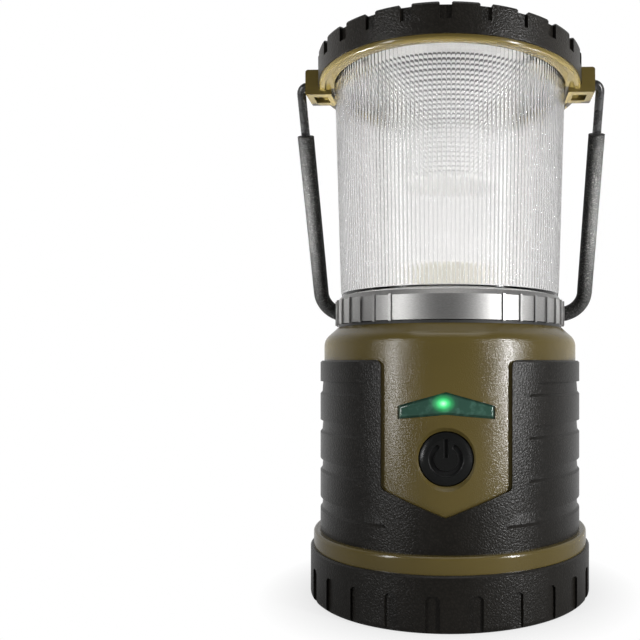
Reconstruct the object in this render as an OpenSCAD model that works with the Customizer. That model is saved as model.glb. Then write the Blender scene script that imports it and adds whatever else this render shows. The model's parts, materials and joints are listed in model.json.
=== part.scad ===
// Rechargeable camping lantern: a round housing with a rubber grip sleeve, a fluted globe that
// lifts off its neck, a swinging bail, a push button and a hinged rubber cover over the ports.
// Front is -Y, up is +Z, and the origin is the middle of the face it stands on. Millimetres.

/* [Base] */
// Height of the rubber boot
boot_h = 21.8; // [18:0.1:30]
// Thickness of the boot under the base
boot_floor = 3; // [2.4:0.1:5]
// Step from the band out to the boot
boot_step = 1.35; // [0.8:0.05:3]
// Rounding of the boot's lower edge
boot_edge_r = 2.2; // [0.5:0.1:2.4]
// Number of grooves round the boot
groove_count = 24; // [12:1:36]
// Width of a boot groove
groove_w = 5.5; // [2:0.1:7]
// Depth of a boot groove
groove_deep = 1.1; // [0.4:0.1:1.5]
// Height at which a boot groove ends
groove_top = 14.3; // [8:0.1:17]
// Turn of the first boot groove from the front
groove_turn = -4.4; // [-7.5:0.1:7.5]
// Depth of the hollow under the foot
foot_hollow = 0.8; // [0.3:0.1:1.5]
// Height of the band above the boot
band_h = 6.7; // [4:0.1:12]
// Step from the sleeve out to the band
band_step = 2.85; // [1.5:0.05:4]
// Rounding of the band's upper edge
band_edge_r = 1.2; // [0.4:0.1:1.4]
// Thickness of the boot's side wall
boot_wall = 4; // [3:0.1:5]
// Thickness of the base cap's floor
base_floor_t = 4; // [3.5:0.1:6]

/* [Housing] */
// Radius of the housing
housing_r = 56.1; // [50:0.1:70]
// Wall of the housing
housing_wall = 2.6; // [2:0.1:3.5]
// Height of the housing's straight side above the band
housing_h = 82.4; // [75:0.1:110]
// Height of the shoulder's slope
shoulder_h = 5.3; // [3:0.1:8]
// Depth of the shoulder's slope
shoulder_in = 5.9; // [4:0.1:7]
// Rounding between the side and the shoulder
shoulder_edge_r = 6; // [1:0.1:7]
// Step from the shoulder in to the neck
neck_in = 4.2; // [3:0.1:5]
// Wall of the neck
neck_wall = 3; // [2:0.1:4]
// Height of the neck
neck_h = 9.8; // [8:0.1:12]
// Thickness of the ledge that carries the light
ledge_t = 2.6; // [2:0.1:4]
// Width of the ledge
ledge_w = 5; // [4:0.1:8]
// Depth of the skirt that enters the base cap
skirt_h = 19.5; // [12:0.1:19.5]

/* [Grip sleeve] */
// Thickness of the grip sleeve
sleeve_t = 1.7; // [1.2:0.1:3]
// Height of the grip sleeve
sleeve_h = 73.3; // [60:0.1:80]
// Half angle of the front shield
shield_half = 25.9; // [24:0.1:30]
// Height of the shield's lower corners
shield_side_z = 52.6; // [48:0.1:52.6]
// Height of the shield's point
shield_tip_z = 42.2; // [38:0.1:46]
// Rounding of the sleeve's corners
sleeve_corner_r = 2.5; // [0.5:0.1:4]
// Number of tread bands
tread_count = 4; // [1:1:4]
// Height of the top tread band's upper edge
tread_top_z = 92.9; // [88:0.1:96]
// Distance between tread bands
tread_pitch = 16.65; // [10:0.05:16.8]
// Height of a tread band
tread_h = 5.4; // [3:0.1:7]
// Depth of a tread band
tread_deep = 1.2; // [0.4:0.1:1.3]
// Height of the ramp at a tread band's lower edge
tread_ramp = 1; // [0.5:0.1:2]
// Angle at which the tread bands end
tread_end = 37.7; // [36:0.1:45]
// Angle at which the lowest band ends
tread_end_low = 27.6; // [27:0.1:40]
// Slant of a band's end
tread_slant = 4.7; // [0:0.1:6]

/* [Button and window] */
// Height of the button
button_z = 64.2; // [60:0.1:66]
// Radius of the button
button_r = 10.2; // [8:0.1:11]
// Flare of the dish round the button
dish_flare = 1.4; // [0.5:0.1:1.8]
// Travel of the button
button_travel = 1; // [0.5:0.1:1.4]
// Half width of the indicator window
window_half = 18.6; // [14:0.1:20]
// Height of the window's lower corners
window_low_z = 79.3; // [79:0.1:81]
// Height of the window's ends
window_end_h = 5; // [3:0.1:6]
// Rise of the window's lower edge
window_arch = 1.8; // [0:0.1:3]
// Height of the window's peak above its lower corners
window_peak = 10.3; // [8:0.1:12]

/* [Ports] */
// Height of the port cover's lower edge
cover_z = 52.3; // [50:0.1:54]
// Height of the port cover
cover_h = 18.4; // [17:0.1:20]
// Half width of the port cover
cover_half = 17.7; // [17:0.1:20]
// Width of the rim round the port window
cover_rim = 2.4; // [2:0.1:3]
// Radius of the bead along the cover's hinge
hinge_r = 0.7; // [0.5:0.1:1]

/* [Light] */
// Radius of the diffuser over the LEDs
dome_r = 17.1; // [14:0.1:20]
// Height of the diffuser above the LED board
dome_h = 26; // [15:0.1:30]
// Wall of the diffuser
dome_wall = 1.5; // [1:0.1:2]
// Thickness of the heat sink's plate
sink_t = 4; // [3:0.1:6]
// Length of the heat sink's fins
fin_h = 8; // [5:0.1:12]
// Number of heat sink fins
fin_count = 9; // [5:2:11]
// Height of the lower reflector's rim above the heat sink
dish_rim_h = 16; // [10:0.1:18]

/* [Globe] */
// Height of the globe ring's ribbed side
ring_h = 9.9; // [8:0.1:11]
// Height of the globe ring's chamfer
ring_chamfer_h = 2.1; // [1.5:0.1:4]
// Depth of the globe ring's chamfer
ring_chamfer_in = 1.6; // [1:0.1:2]
// Half angle of the smooth front panel
panel_half = 26; // [20:0.5:35]
// Number of ribs on the globe ring
rib_count = 35; // [20:1:40]
// Width of a ring rib
rib_w = 1.1; // [0.8:0.05:2]
// Height of a ring rib
rib_proud = 0.8; // [0.4:0.1:1.2]
// Clear height of the lens
lens_h = 93.35; // [80:0.05:120]
// Widening of the lens to its top
lens_flare = 2.8; // [0:0.1:4]
// Wall of the lens
lens_wall = 2.4; // [2:0.1:3]
// Number of flutes round the lens
flute_count = 180; // [60:1:200]
// Depth of the groove between flutes
flute_deep = 0.35; // [0.2:0.05:0.6]
// Width of the groove between flutes
flute_groove_w = 0.5; // [0.3:0.05:0.8]
// Radius of the upper reflector's foot
mirror_foot_r = 20.2; // [12:0.1:26]
// Height of the upper reflector's foot
mirror_foot_h = 20.4; // [8:0.1:24]
// Number of rings on the upper reflector's foot
mirror_foot_rings = 10; // [4:1:14]
// Lip of the foot's rings
mirror_foot_lip = 0.4; // [0.2:0.05:0.6]
// Height of the upper reflector's cone
mirror_cone_h = 23.5; // [20:0.5:35]
// Number of rings on the upper reflector's cone
mirror_rings = 16; // [8:1:18]
// Lip of every second ring
mirror_lip = 1.2; // [0.6:0.05:1.3]
// Lip of the rings between them
mirror_fine_lip = 0.7; // [0.2:0.05:0.9]
// Wall of the upper reflector
mirror_wall = 1.6; // [1.2:0.1:2.5]

/* [Top] */
// Step from the lens out to the collar's rim
collar_step = 6.6; // [6:0.1:9]
// Height of the collar's rim
rim_h = 1.8; // [1.4:0.1:3]
// Rounding of the bead along the rim's lower edge
rim_edge_r = 1; // [0.5:0.1:1.2]
// Width of the bead
rim_bead_w = 2.4; // [2:0.1:3]
// Step from the collar's rim out to the top cap
cap_step = 0.5; // [0:0.1:1]
// Height of the top cap
cap_h = 12.3; // [11:0.1:18]
// Bevel of the top cap's edge
cap_bevel = 1.2; // [0.5:0.1:2]
// Width of the top cap's raised rim
cap_rim_w = 6; // [4:0.1:10]
// Height of the rim above the middle of the cap
cap_rim_up = 1.1; // [0.5:0.1:1.5]
// Wall of the top cap
cap_wall = 2.4; // [2:0.1:3]
// Number of notches round the top cap
notch_count = 24; // [12:1:36]
// Width of a notch
notch_w = 4.6; // [3:0.1:7]
// Depth of a notch
notch_deep = 1.5; // [0.5:0.1:1.6]
// Height of a notch
notch_h = 6.8; // [3:0.1:8]
// Splay of a notch's upper corners
notch_splay = 0.9; // [0.3:0.1:1.5]

/* [Bail] */
// Reach of a lug beyond the top cap
lug_reach = 5.6; // [5:0.1:8]
// Width of a lug
lug_w = 14; // [12:0.1:18]
// Height of a lug
lug_h = 11.1; // [10:0.1:11.5]
// Rounding of a lug's outer edge
lug_edge_r = 1.2; // [0.5:0.1:2]
// Radius of the bail wire
wire_r = 2; // [1.5:0.1:2.4]
// Radius of the wire's bend beside a lug
pin_bend_r = 3.3; // [3:0.1:5]
// Radius of the bail's lower bends
bail_bend_r = 12; // [10:0.1:20]
// Bow of the bail's lower bar
bail_bow = 6.3; // [2:0.1:12]
// Radius of the bail's grip
grip_r = 3.8; // [3.4:0.1:5]
// Distance from the pivot to the grip's end
grip_start = 21.8; // [15:0.1:40]
// Height above the ring's foot at which the bail rests
bail_rest_h = 1.4; // [1:0.1:4]

/* [Cells] */
// Radius of a cell
cell_r = 9.2; // [8.5:0.1:10]
// Length of a cell
cell_l = 65; // [60:0.1:70]
// Gap between neighbouring cells
cell_gap = 0.6; // [0.4:0.1:2]

/* [Clearances] */
// Gap between pieces that are fixed to each other
seat = 0.05; // [0.02:0.01:0.1]
// Gap between pieces that move past each other
move_gap = 0.3; // [0.25:0.05:0.4]
// Gap round the bail wire in its lug
pin_gap = 0.06; // [0.03:0.01:0.1]

/* [Hidden] */
$fn = 96;
eps = 0.01;
big = 200;

// Radii, from the housing outwards and inwards
sleeve_r = housing_r + sleeve_t;
band_r = sleeve_r + band_step;
boot_r = band_r + boot_step;
base_r = boot_r - boot_wall;
inner_r = housing_r - housing_wall;
skirt_r = housing_r - 2.1;
skirt_in_r = skirt_r - 2.4;
shoulder_r = housing_r - shoulder_in;
neck_r = shoulder_r - neck_in;
neck_in_r = neck_r - neck_wall;
ring_r = shoulder_r + 0.3;
rib_r = ring_r + rib_proud;
lens_foot_r = neck_r + 1.5;
lens_r = ring_r - ring_chamfer_in;
lens_top_r = lens_r + lens_flare;
rim_r = lens_top_r + collar_step;
cap_r = rim_r + cap_step;
deck_r = cap_r - cap_wall - seat;
lug_x = cap_r + lug_reach;
leg_x = lug_x + move_gap + pin_bend_r;

// Heights, from the ground up
base_floor_z = boot_floor + base_floor_t;
band_z = boot_h + band_h;
shoulder_z = band_z + housing_h;
neck_z = shoulder_z + shoulder_h;
neck_top_z = neck_z + neck_h;
ledge_z = neck_z - ledge_t;
gasket_t = 1.1;
ring_z = neck_z + gasket_t + move_gap;
ring_side_z = ring_z + ring_h;
ring_top_z = ring_side_z + ring_chamfer_h;
ring_lip_z = neck_top_z + move_gap;
lens_foot_z = ring_lip_z + 2;
lens_z = ring_top_z + seat;
rim_z = lens_z + lens_h - 1;
collar_z = rim_z + rim_h;
cap_top_z = collar_z + cap_h;
deck_top_z = cap_top_z - 3;
deck_z = deck_top_z - 2.5;
mirror_top_z = collar_z + 2.3;
mirror_t = 1.6;
pivot_z = collar_z + 2.8;
lug_z = rim_z - 1.4;

// Bail: its bar rests behind the globe ring
bail_y = rib_r + move_gap + grip_r;
bail_drop = pivot_z - ring_z - bail_rest_h;
bail_l = norm([bail_y, bail_drop]);
bail_lean = atan2(bail_y, bail_drop);
leg_in = leg_x - bail_bend_r;
bow_r = (pow(leg_in - 6, 2) + pow(bail_bow, 2)) / (2 * bail_bow);
bend_drop = bail_l - bow_r + sqrt(pow(bow_r - bail_bend_r, 2) - pow(leg_in, 2));
bow_half = asin(leg_in / (bow_r - bail_bend_r));

// Front electronics
board_t = 1.6;
board_y = housing_r - 17.3;
board_half = 20;
board_low_z = button_z - 17;
board_high_z = window_low_z + 20;
post_x = 16.5;
post_r = 3;
post_z = [board_low_z + 4, board_high_z - 4];
face_y = housing_r - 1.9;
guide_y = housing_r - 6.9;
guide_r = button_r + 0.4;
flange_t = 1.2;
plunger_r = 1.7;
switch_l = 3.5;
plunger_tip_y = board_y + switch_l + 1.9;

// Ports at the back
port_low_z = cover_z + cover_rim + 1;
port_high_z = cover_z + cover_h - cover_rim;
port_half = cover_half - cover_rim;
pad_y = face_y - 3;
port_board_z = port_low_z + 1.6;
port_mouth_y = pad_y + 0.3;
rail_x = cover_half - 1.6;

// Cells
cell_floor_z = base_floor_z + 2;
link_t = 0.3;
cell_z = cell_floor_z + link_t;
cell_top_z = cell_z + cell_l;
cell_c = cell_r + cell_gap / 2;
holder_r = cell_c * sqrt(2) + cell_r + 2;
holder_h = 10;

// Light engine on the ledge
sink_r = neck_in_r - seat;
sink_top_z = ledge_z + sink_t;
led_board_r = dome_r + 1;
led_board_z = sink_top_z + board_t;
fin_r = neck_in_r - ledge_w - 1;
lead_y = 12;

function arc(cx, cy, r, from, to, steps = 6) =
    [for (i = [0 : steps]) let (a = from + (to - from) * i / steps)
        [cx + r * cos(a), cy + r * sin(a)]];

module ring(r_out, r_in, z0, z1) {
    translate([0, 0, z0]) difference() {
        cylinder(r = r_out, h = z1 - z0);
        translate([0, 0, -eps]) cylinder(r = r_in, h = z1 - z0 + 2 * eps);
    }
}

// An outline drawn in X and Z, pushed through the front (side = -1) or the back (side = 1)
module through(side) {
    rotate([90, 0, 0]) mirror([0, 0, side > 0 ? 1 : 0]) linear_extrude(big) children();
}

// A cylinder along Y, between two distances from the axis, at the front or the back
module along_y(r, y0, y1, side = -1) {
    translate([0, side * y0, 0]) rotate([-90 * side, 0, 0]) cylinder(r = r, h = y1 - y0);
}

module screw(head_r, head_h, shank_r, shank_l) {
    difference() {
        union() {
            cylinder(r = head_r, h = head_h);
            translate([0, 0, head_h - eps]) cylinder(r = shank_r, h = shank_l + eps);
        }
        for (turn = [0, 90]) rotate([0, 0, turn])
            translate([-head_r * 0.65, -0.35, -eps]) cube([head_r * 1.3, 0.7, head_h * 0.6]);
    }
}

// A radial slot of width w that starts at radius r0. Its upper corners splay out by corner, or
// close in by it where corner is negative.
module slot(r0, w, z0, z1, corner) {
    half = w / 2;
    size = abs(corner);
    translate([r0, 0, 0]) rotate([90, 0, 90]) linear_extrude(big) polygon([
        [-half, z0], [half, z0], [half, z1 - size], [half + corner, z1], [-half - corner, z1],
        [-half, z1 - size]]);
}

// ---- Base ----

boss_r = 4;
boss_bite = 1.2;
boss_at = skirt_in_r - boss_r + boss_bite;
base_screw_r = 1.4;

module at_bosses() {
    for (i = [0 : 3]) rotate([0, 0, 45 + 90 * i]) translate([boss_at, 0, 0]) children();
}

module base_boot() {
    foot_r = boot_r - 12;
    color([0.13, 0.12, 0.12]) difference() {
        rotate_extrude() polygon(concat(
            [[0, foot_hollow], [foot_r - foot_hollow, foot_hollow], [foot_r, 0]],
            arc(boot_r - boot_edge_r, boot_edge_r, boot_edge_r, -90, 0),
            [[boot_r, boot_h - 0.6], [boot_r - 0.6, boot_h], [base_r + seat, boot_h],
             [base_r + seat, boot_floor], [0, boot_floor]]));
        for (i = [0 : groove_count - 1])
            rotate([0, 0, -90 + groove_turn + i * 360 / groove_count])
                slot(boot_r - groove_deep, groove_w, -eps, groove_top, -1.2);
    }
}

module base_cap() {
    color([0.45, 0.40, 0.23]) difference() {
        rotate_extrude() polygon(concat(
            [[0, boot_floor], [base_r, boot_floor], [base_r, boot_h], [band_r, boot_h]],
            arc(band_r - band_edge_r, band_z - band_edge_r, band_edge_r, 0, 90),
            [[skirt_r + seat, band_z], [skirt_r + seat, base_floor_z], [0, base_floor_z]]));
        at_bosses() {
            translate([0, 0, boot_floor - eps]) cylinder(r = 3.1, h = 2.1 + eps);
            cylinder(r = base_screw_r + 0.2, h = big);
        }
    }
}

module base_screws() {
    color([0.6, 0.6, 0.62]) at_bosses()
        translate([0, 0, boot_floor + 0.2]) screw(2.9, 1.9, base_screw_r, 12);
}

module base_seal() {
    color([0.1, 0.1, 0.1])
        ring(skirt_r - 0.2, skirt_in_r + boss_bite + 0.1, base_floor_z, band_z - skirt_h);
}

// ---- Housing ----

module button_dish() {
    translate([0, 0, button_z]) {
        along_y(guide_r, guide_y - 1, housing_r + 1);
        translate([0, -face_y, 0]) rotate([90, 0, 0])
            cylinder(r1 = guide_r, r2 = guide_r + dish_flare * 1.3, h = housing_r - face_y + 0.3);
    }
}

module window_outline(grow) {
    low = window_low_z;
    polygon([
        [-window_half - grow, low - grow], [0, low + window_arch - grow],
        [window_half + grow, low - grow], [window_half + grow, low + window_end_h + grow],
        [0, low + window_peak + grow], [-window_half - grow, low + window_end_h + grow]]);
}

module port_window() {
    translate([-port_half, pad_y - 1, port_low_z])
        cube([2 * port_half, big, port_high_z - port_low_z]);
}

module port_pocket() {
    grip_notch_r = 6;
    top_gap = 0.7;
    translate([-cover_half - move_gap, face_y, cover_z - move_gap])
        cube([2 * (cover_half + move_gap), big, cover_h + move_gap + top_gap]);
    translate([0, face_y + 1, cover_z + cover_h - 1.6]) rotate([-90, 0, 0])
        cylinder(r = grip_notch_r, h = big);
}

module housing_shell() {
    slope = atan2(shoulder_in, shoulder_h);
    color([0.45, 0.40, 0.23]) difference() {
        union() {
            rotate_extrude() polygon(concat(
                [[skirt_in_r, band_z - skirt_h], [skirt_r, band_z - skirt_h], [skirt_r, band_z],
                 [housing_r, band_z]],
                arc(housing_r - shoulder_edge_r, shoulder_z - shoulder_edge_r * tan(slope / 2),
                    shoulder_edge_r, 0, slope),
                [[shoulder_r, neck_z], [neck_r, neck_z], [neck_r, neck_top_z - 0.6],
                 [neck_r - 0.6, neck_top_z], [neck_in_r, neck_top_z], [neck_in_r, ledge_z],
                 [neck_in_r - ledge_w, ledge_z], [neck_in_r - ledge_w, ledge_z - ledge_t],
                 [inner_r - 2, ledge_z - ledge_t], [inner_r, shoulder_z - 2],
                 [inner_r, band_z + 2], [skirt_in_r, band_z]]));
            at_bosses() translate([0, 0, base_floor_z]) cylinder(r = boss_r, h = 26);
            intersection() {
                cylinder(r = inner_r + 1, h = shoulder_z);
                union() {
                    translate([0, 0, button_z]) along_y(guide_r + 1.8, guide_y, big);
                    for (x = [-post_x, post_x], z = post_z)
                        translate([x, 0, z]) along_y(post_r, board_y, big);
                    translate([-cover_half - 2, pad_y, cover_z - 2])
                        cube([2 * cover_half + 4, big, cover_h + 4]);
                    for (side = [-1, 1])
                        translate([side * rail_x - 2, pad_y - 13, port_board_z - board_t - 3])
                            cube([4, 13 + eps, 3]);
                }
            }
        }
        at_bosses() cylinder(r = base_screw_r - 0.1 + 2 * seat, h = base_floor_z + 16);
        button_dish();
        through(-1) window_outline(seat);
        for (x = [-post_x, post_x], z = post_z)
            translate([x, 0, z]) along_y(1 + seat, board_y - 1, board_y + 7);
        port_pocket();
        port_window();
        for (side = [-1, 1]) translate([side * rail_x, pad_y - 9, port_board_z - board_t - 4])
            cylinder(r = 1 + seat, h = 5);
    }
}

module shield_outline() {
    half = sleeve_r * sin(shield_half);
    c = sleeve_corner_r;
    top = band_z + sleeve_h;
    right = concat(
        [[half + c, top + 1], [half + c, top]],
        arc(half + c, top - c, c, 90, 180),
        arc(half - c, shield_side_z + c / 2, c, 0, -60),
        [[0.8, shield_tip_z + 0.3], [0, shield_tip_z]]);
    polygon(concat(right, [for (i = [len(right) - 2 : -1 : 0]) [-right[i][0], right[i][1]]]));
}

module tread(row) {
    top = tread_top_z - row * tread_pitch;
    low = top - tread_h;
    end = row == tread_count - 1 ? tread_end_low : tread_end;
    intersection() {
        rotate_extrude() polygon([
            [sleeve_r - tread_deep, top], [sleeve_r - tread_deep * 0.7, low + tread_ramp],
            [sleeve_r, low], [sleeve_r + 5, low], [sleeve_r + 5, top]]);
        for (side = [0, 1]) mirror([side, 0, 0])
            rotate([90, 0, 0]) translate([0, 0, -big / 2]) linear_extrude(big)
                polygon([
                    [sleeve_r * sin(end), top + 1],
                    [sleeve_r * sin(end - tread_slant), low - 1],
                    [big, low - 1], [big, top + 1]]);
    }
}

module grip_sleeve() {
    top = band_z + sleeve_h;
    color([0.16, 0.15, 0.15]) difference() {
        rotate_extrude() polygon([
            [housing_r + seat, band_z], [sleeve_r, band_z], [sleeve_r, top - 0.7],
            [sleeve_r - 0.7, top], [housing_r + seat, top]]);
        through(-1) shield_outline();
        translate([-cover_half - 1.5, 0, cover_z - 1.5]) cube([2 * cover_half + 3, big, cover_h + 4]);
        for (row = [0 : tread_count - 1]) tread(row);
    }
}

module neck_gasket() {
    color([0.08, 0.08, 0.08]) ring(shoulder_r - 0.3, neck_r + seat, neck_z, neck_z + gasket_t);
}

// ---- Cells ----

module at_cell(i) {
    rotate([0, 0, 90 * i]) translate([cell_c, cell_c, 0]) children();
}

module cell(i) {
    color([0.25, 0.45, 0.7]) at_cell(i) translate([0, 0, cell_z]) {
        cylinder(r = cell_r, h = cell_l - 0.6);
        translate([0, 0, cell_l - 0.6 - eps]) cylinder(r = cell_r - 3, h = 0.6 + eps);
    }
}

module cell_holder(z, pocket_z, link_z, turn) {
    slack = 0.1;
    color([0.1, 0.1, 0.1]) difference() {
        translate([0, 0, z]) cylinder(r = holder_r, h = holder_h);
        for (i = [0 : 3]) at_cell(i)
            translate([0, 0, pocket_z]) cylinder(r = cell_r + seat, h = holder_h - 2 + eps);
        for (i = [0 : 3]) rotate([0, 0, 90 * i]) translate([holder_r, 0, z - eps])
            cylinder(r = 7, h = holder_h + 2 * eps);
        translate([0, 0, z - eps]) cylinder(r = 2.5, h = holder_h + 2 * eps);
        link_bars(link_z, link_t + slack, slack, turn);
    }
}

module cell_holder_lower() {
    cell_holder(base_floor_z, cell_floor_z, cell_floor_z, 0);
}

module cell_holder_upper() {
    difference() {
        cell_holder(cell_top_z + link_t + 2 - holder_h, cell_top_z + link_t + 2 - holder_h - eps,
                    cell_top_z - 0.1, 90);
        at_cell_leads() cylinder(r = 1.3, h = big);
    }
}

module link_bars(z, h, grow, turn) {
    half = 3 + grow;
    rotate([0, 0, turn]) for (side = [-1, 1])
        translate([-cell_c - half, side * cell_c - half, z]) cube([2 * (cell_c + half), 2 * half, h]);
}

module cell_links_lower() {
    color([0.75, 0.72, 0.6]) link_bars(cell_floor_z, link_t, 0, 0);
}

module cell_links_upper() {
    color([0.75, 0.72, 0.6]) link_bars(cell_top_z, link_t, 0, 90);
}

// ---- Electronics ----

module main_board() {
    color([0.1, 0.35, 0.2]) difference() {
        translate([-board_half, -board_y, board_low_z])
            cube([2 * board_half, board_t, board_high_z - board_low_z]);
        for (x = [-post_x, post_x], z = post_z)
            translate([x, 0, z]) along_y(1.3, board_y - board_t - 1, board_y + 1);
    }
}

module main_board_screws() {
    color([0.6, 0.6, 0.62]) for (x = [-post_x, post_x], z = post_z)
        translate([x, -(board_y - board_t - 1.5), z]) rotate([90, 0, 0]) screw(2, 1.5, 1, 7.5);
}

module tact_switch() {
    half = 3.1;
    color([0.2, 0.2, 0.2]) difference() {
        translate([-half, -board_y - switch_l, button_z - half])
            cube([2 * half, switch_l, 2 * half]);
        translate([0, 0, button_z]) along_y(plunger_r + move_gap, board_y - 1, big);
    }
}

module indicator_leds() {
    spacing = 6;
    color([0.9, 0.95, 0.85]) for (i = [-2 : 2])
        translate([i * spacing - 1, -board_y - 1.2, window_low_z + 4.5]) cube([2, 1.2, 3]);
}

module indicator_window() {
    flange = 1.2;
    color([0.1, 0.4, 0.25, 0.8]) {
        intersection() {
            through(-1) window_outline(0);
            ring(housing_r - 0.4, inner_r - 1, window_low_z - 5, window_low_z + 20);
        }
        intersection() {
            through(-1) window_outline(flange);
            ring(inner_r - seat, inner_r - 1.6, window_low_z - 5, window_low_z + 20);
        }
    }
}

module port_board() {
    color([0.1, 0.35, 0.2]) difference() {
        translate([-rail_x - 2, pad_y - 18, port_board_z - board_t])
            cube([2 * rail_x + 4, 17, board_t]);
        for (side = [-1, 1]) translate([side * rail_x, pad_y - 9, port_board_z - 2])
            cylinder(r = 1.3, h = 3);
    }
}

module port_board_screws() {
    color([0.6, 0.6, 0.62]) for (side = [-1, 1])
        translate([side * rail_x, pad_y - 9, port_board_z + 1.5]) mirror([0, 0, 1])
            screw(2, 1.5, 1, 4.5);
}

// A socket of outer size w by h, opening towards +Y, with its contact tongue
module socket(x, w, h, depth, wall, tongue_h) {
    translate([x, port_mouth_y - depth, port_board_z]) {
        difference() {
            cube([w, depth, h]);
            translate([wall, 3, wall]) cube([w - 2 * wall, depth, h - 2 * wall]);
        }
        translate([wall + 0.6, 2.9, h / 2]) cube([w - 2 * wall - 1.2, depth - 3.6, tongue_h]);
    }
}

module power_outlet() {
    color([0.7, 0.7, 0.72]) socket(-13.4, 13.2, 5.8, 14, 0.4, 1.8);
}

module charge_inlet() {
    color([0.7, 0.7, 0.72]) socket(3.6, 7.6, 3, 8, 0.4, 0.6);
}

// A lead in the YZ plane that climbs at y0, turns by a bend and runs level to y1
module lead(x, r, y0, z0, z1, y1) {
    bend = 3;
    way = sign(y1 - y0);
    translate([x, y0, z0]) cylinder(r = r, h = z1 - bend - z0, $fn = 24);
    translate([x, y0 + way * bend, z1 - bend]) rotate([90, 0, 90]) rotate([0, 0, way > 0 ? 90 : 0])
        rotate_extrude(angle = 90, $fn = 24) translate([bend, 0]) circle(r = r);
    translate([x, y0 + way * bend, z1]) rotate([-90 * way, 0, 0])
        cylinder(r = r, h = abs(y1 - y0) - bend, $fn = 24);
}

lead_r = 0.9;
lead_x = 2.2;
cell_lead_x = cell_c - 3.5;

module at_cell_leads() {
    for (side = [-1, 1]) translate([side * cell_lead_x, -cell_c, 0]) children();
}

module cell_leads() {
    color([0.7, 0.1, 0.1]) for (side = [-1, 1])
        lead(side * cell_lead_x, lead_r, -cell_c, cell_top_z + link_t, cell_top_z + 9,
             -(board_y - board_t));
}

module led_leads() {
    level = ledge_z - fin_h - 3;
    color([0.8, 0.8, 0.75]) for (side = [-1, 1]) {
        lead(side * lead_x, lead_r, -board_y + board_t / 2, board_high_z, level, -lead_y - 3);
        translate([side * lead_x, -lead_y - 3, level + 3]) rotate([90, 0, 90])
            rotate([0, 0, -90]) rotate_extrude(angle = 90, $fn = 24)
                translate([3, 0]) circle(r = lead_r);
        translate([side * lead_x, -lead_y, level + 3])
            cylinder(r = lead_r, h = sink_top_z - level - 3, $fn = 24);
    }
}

module port_leads() {
    color([0.8, 0.7, 0.1]) for (side = [-1, 1])
        lead(side * 1.6, lead_r, pad_y - 16.5, port_board_z, board_high_z - 6,
             -(board_y - board_t));
}

// ---- Light engine ----

sink_screw_at = neck_in_r - ledge_w / 2;

module at_sink_screws() {
    for (i = [0 : 2]) rotate([0, 0, 30 + 120 * i]) translate([sink_screw_at, 0, 0]) children();
}

module heat_sink() {
    fin_t = 2;
    fin_pitch = 2 * fin_r / fin_count;
    color([0.75, 0.76, 0.78]) difference() {
        union() {
            translate([0, 0, ledge_z]) cylinder(r = sink_r, h = sink_t);
            intersection() {
                translate([0, 0, ledge_z - fin_h]) cylinder(r = fin_r, h = fin_h + eps);
                for (i = [-(fin_count - 1) / 2 : (fin_count - 1) / 2])
                    translate([i * fin_pitch - fin_t / 2, -big / 2, ledge_z - fin_h])
                        cube([fin_t, big, fin_h + 2 * eps]);
            }
        }
        for (side = [-1, 1]) translate([side * lead_x, -lead_y, 0]) cylinder(r = 1.6, h = big);
        at_sink_screws() cylinder(r = 1.5, h = big);
    }
}

module heat_sink_screws() {
    color([0.6, 0.6, 0.62]) at_sink_screws()
        translate([0, 0, sink_top_z + 1.5]) mirror([0, 0, 1]) screw(2.1, 1.5, 1.2, sink_t);
}

module led_board() {
    color([0.92, 0.92, 0.9]) translate([0, 0, sink_top_z]) cylinder(r = led_board_r, h = board_t);
}

module led_chips() {
    pitch = 5.5;
    half = 1.75;
    color([1, 0.95, 0.6]) for (x = [-pitch, pitch], y = [-pitch, pitch]) {
        translate([x - half, y - half, led_board_z]) cube([2 * half, 2 * half, 0.8]);
        translate([x, y, led_board_z + 0.8 - eps]) intersection() {
            sphere(r = 1.5);
            cylinder(r = 2, h = 2);
        }
    }
}

module diffuser_dome() {
    z = led_board_z;
    color([0.95, 0.95, 0.92, 0.6]) rotate_extrude() polygon(concat(
        [[dome_r - dome_wall, z], [dome_r, z]],
        arc(dome_r - 2, z + dome_h - 2, 2, 0, 90),
        [[0, z + dome_h], [0, z + dome_h - dome_wall], [dome_r - dome_wall, z + dome_h - dome_wall]]));
}

module lower_reflector() {
    t = 1.4;
    hub = dome_r + 0.4;
    rim = sink_screw_at - 3.4;
    z = sink_top_z;
    color([0.93, 0.93, 0.94]) rotate_extrude() polygon([
        [hub, led_board_z], [led_board_r + 0.6, led_board_z], [led_board_r + 0.6, z],
        [led_board_r + 2, z], [led_board_r + 2.2, led_board_z + 0.3],
        [rim - t, z + dish_rim_h - t], [rim - t, z], [rim, z], [rim, z + dish_rim_h],
        [rim - t, z + dish_rim_h], [led_board_r + 1, led_board_z + t], [hub, led_board_z + t]]);
}

// ---- Globe ----

module globe_ring() {
    bore = neck_r + move_gap;
    pitch = (360 - 2 * panel_half) / (rib_count - 1);
    drop = 0.4;
    rise = 0.4;
    color([0.72, 0.72, 0.72]) {
        rotate_extrude() polygon([
            [bore, ring_z], [ring_r, ring_z], [ring_r, ring_side_z],
            [ring_r - ring_chamfer_in, ring_top_z], [lens_foot_r + seat, ring_top_z],
            [lens_foot_r + seat, lens_foot_z], [neck_in_r + 1, lens_foot_z],
            [neck_in_r + 1, ring_lip_z], [bore, ring_lip_z]]);
        for (i = [0 : rib_count - 1]) rotate([0, 0, -90 + panel_half + i * pitch])
            translate([ring_r - 0.4, -rib_w / 2, ring_z - drop])
                cube([rib_proud + 0.4, rib_w, ring_h + drop + rise]);
    }
}

module lens_seal() {
    color([0.9, 0.9, 0.88])
        ring(lens_foot_r, neck_in_r + 1.6, lens_foot_z, lens_foot_z + 0.8);
}

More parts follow.
